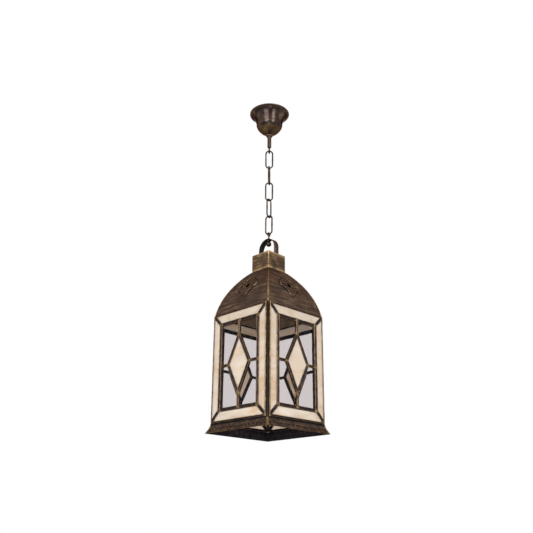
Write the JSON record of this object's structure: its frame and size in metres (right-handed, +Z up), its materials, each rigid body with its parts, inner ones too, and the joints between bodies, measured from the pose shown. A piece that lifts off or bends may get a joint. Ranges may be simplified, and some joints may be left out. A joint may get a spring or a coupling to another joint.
{
  "type": "lantern pendant light",
  "caption": "Square stained-glass lantern with a domed metal roof and a flared skirt, hung on a link chain from a bell-shaped ceiling rose.",
  "frame": {"origin": "centre of the ceiling rose on the ceiling plane, where the bracket's tabs meet the ceiling", "axes": "+Z up into the ceiling; the lantern's four glass sides face +X, -X, +Y and -Y; the bail's strap runs along X"},
  "size_m": [0.192, 0.192, 0.8039],
  "materials": {
    "bronze": "brushed bronze patina over sheet steel",
    "dark_bronze": "dark bronze patina",
    "chain_bronze": "dark bronze patina, worn at the bends",
    "aged_came": "aged brass came with soldered joints",
    "zinc": "zinc plated",
    "cream_glass": "streaky opalescent cream glass",
    "clear_glass": "clear glass",
    "porcelain": "glazed white porcelain",
    "plastic": "moulded insulator"
  },
  "bodies": {
    "ceiling_mount": {"ceiling_bracket": "zinc", "stem_nut_upper": "zinc", "stem_nut_lower": "zinc", "terminal_block": "plastic", "stem_tube": "dark_bronze", "stem_cross_pin": "dark_bronze", "stem_hook": "dark_bronze"},
    "rose": {"canopy_cup": "bronze", "canopy_ring_nut": "aged_came"},
    "link_1": {"chain_link_1": "chain_bronze"},
    "link_2": {"chain_link_2": "chain_bronze"},
    "link_3": {"chain_link_3": "chain_bronze"},
    "link_4": {"chain_link_4": "chain_bronze"},
    "link_5": {"chain_link_5": "chain_bronze"},
    "hanging_hook": {"swivel_hook": "chain_bronze"},
    "lantern": {"bail_strap": "bronze", "collar": "bronze", "carrier_bar": "dark_bronze", "nipple": "zinc", "nipple_nut": "zinc", "lampholder_cap": "dark_bronze", "lampholder_socket": "porcelain", "candle_bulb": "clear_glass", "skirt": "bronze", "dome_front": "bronze", "came_lattice_front": "aged_came", "clear_pane_front": "clear_glass", "diamond_front": "cream_glass", "border_front_bottom": "cream_glass", "border_front_right": "cream_glass", "border_front_top": "cream_glass", "border_front_left": "cream_glass", "corner_rod_front_right": "dark_bronze", "dome_right": "bronze", "came_lattice_right": "aged_came", "clear_pane_right": "clear_glass", "diamond_right": "cream_glass", "border_right_bottom": "cream_glass", "border_right_right": "cream_glass", "border_right_top": "cream_glass", "border_right_left": "cream_glass", "corner_rod_right_back": "dark_bronze", "dome_back": "bronze", "came_lattice_back": "aged_came", "clear_pane_back": "clear_glass", "diamond_back": "cream_glass", "border_back_bottom": "cream_glass", "border_back_right": "cream_glass", "border_back_top": "cream_glass", "border_back_left": "cream_glass", "corner_rod_back_left": "dark_bronze", "dome_left": "bronze", "came_lattice_left": "aged_came", "clear_pane_left": "clear_glass", "diamond_left": "cream_glass", "border_left_bottom": "cream_glass", "border_left_right": "cream_glass", "border_left_top": "cream_glass", "border_left_left": "cream_glass", "corner_rod_left_front": "dark_bronze"}
  },
  "joints": [
    {"name": "rose_slide", "type": "slide", "parent": "ceiling_mount", "child": "rose", "axis": [0, 0, -1], "range_m": [0, 0.022]},
    {"name": "link_1_swing", "type": "hinge", "parent": "ceiling_mount", "child": "link_1", "pos_m": [0, 0, -0.11275], "axis": [-0.7071, 0.7071, 0], "range_deg": [-40, 40]},
    {"name": "link_2_swing", "type": "hinge", "parent": "link_1", "child": "link_2", "pos_m": [0, 0, -0.15705], "axis": [0.7071, 0.7071, 0], "range_deg": [-40, 40]},
    {"name": "link_3_swing", "type": "hinge", "parent": "link_2", "child": "link_3", "pos_m": [0, 0, -0.20185], "axis": [-0.5878, 0.809, 0], "range_deg": [-40, 40]},
    {"name": "link_4_swing", "type": "hinge", "parent": "link_3", "child": "link_4", "pos_m": [0, 0, -0.24665], "axis": [0.7071, 0.7071, 0], "range_deg": [-40, 40]},
    {"name": "link_5_swing", "type": "hinge", "parent": "link_4", "child": "link_5", "pos_m": [0, 0, -0.29145], "axis": [-0.342, 0.9397, 0], "range_deg": [-40, 40]},
    {"name": "hook_swing", "type": "hinge", "parent": "link_5", "child": "hanging_hook", "pos_m": [0, 0, -0.33625], "axis": [0.9397, 0.342, 0], "range_deg": [-40, 40]},
    {"name": "lantern_turn", "type": "hinge", "parent": "hanging_hook", "child": "lantern", "pos_m": [0, 0, -0.3516], "axis": [0, 0, 1], "continuous": true}
  ]
}
